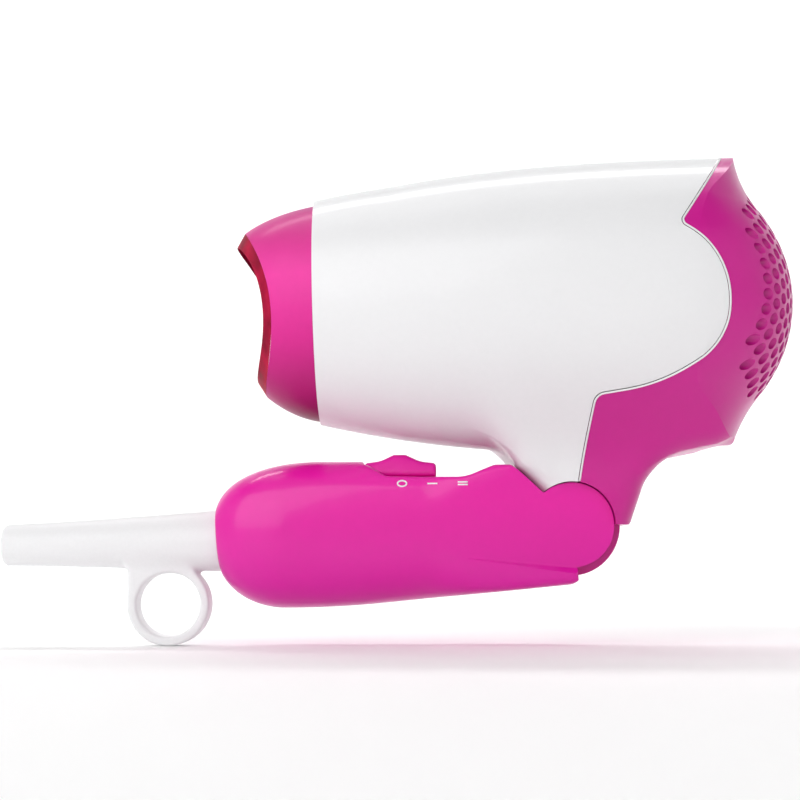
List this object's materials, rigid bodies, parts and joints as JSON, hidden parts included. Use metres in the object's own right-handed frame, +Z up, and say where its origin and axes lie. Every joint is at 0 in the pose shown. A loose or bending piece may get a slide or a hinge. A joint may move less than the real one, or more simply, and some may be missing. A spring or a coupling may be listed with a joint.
{
  "type": "folding travel hair dryer",
  "caption": "Small handheld hair dryer with a clear nozzle, a domed air intake, a handle that folds under the body, a sliding switch and a hanging ring.",
  "frame": {"origin": "middle of the folded dryer in plan, at the height of the hanging ring's lowest point", "axes": "+X from the nozzle towards the air intake, +Z up with the body above the folded handle, Y across the dryer along the hinge"},
  "size_m": [0.2283, 0.0844, 0.1417],
  "materials": {
    "white_shell": "gloss",
    "pink_shell": "gloss",
    "pink_handle": "gloss",
    "clear_nozzle": "tinted clear plastic",
    "black_plastic": "satin",
    "mica": "matt",
    "heater_wire": "drawn wire",
    "steel": "plated",
    "brass": "bright",
    "circuit_board": "satin",
    "lead_sleeve": "matt",
    "white_relief": "satin"
  },
  "bodies": {
    "body": {"front_shell": "white_shell", "rear_shell": "pink_shell", "nozzle": "clear_nozzle", "outlet_grille": "black_plastic", "heater_barrel": "mica", "mica_frame": "mica", "heater_coil": "heater_wire", "thermostat": "steel", "thermal_fuse": "brass", "motor_board": "circuit_board", "motor_can": "steel", "fan_duct": "black_plastic", "intake_screen": "steel", "neck_screws": "steel", "body_leads": "lead_sleeve", "hinge_washers": "steel"},
    "fan": {"motor_shaft": "steel", "fan_impeller": "black_plastic"},
    "handle": {"hinge_pins": "steel", "handle_half_left": "pink_handle", "handle_half_right": "pink_handle", "handle_screws": "steel", "switch_body": "black_plastic", "handle_leads": "lead_sleeve", "cord_clamp": "black_plastic", "strain_relief": "white_relief"},
    "slider": {"switch_slider": "pink_handle"}
  },
  "joints": [
    {"name": "handle_fold", "type": "hinge", "parent": "body", "child": "handle", "pos_m": [0.0471, 0, 0.0339], "axis": [0, -1, 0], "range_deg": [0, 84]},
    {"name": "switch_slide", "type": "slide", "parent": "handle", "child": "slider", "axis": [1, 0, 0], "range_m": [0, 0.0168]},
    {"name": "fan_spin", "type": "hinge", "parent": "body", "child": "fan", "pos_m": [0.0471, 0, 0.0981], "axis": [0.9996, 0, 0.0279], "continuous": true}
  ]
}
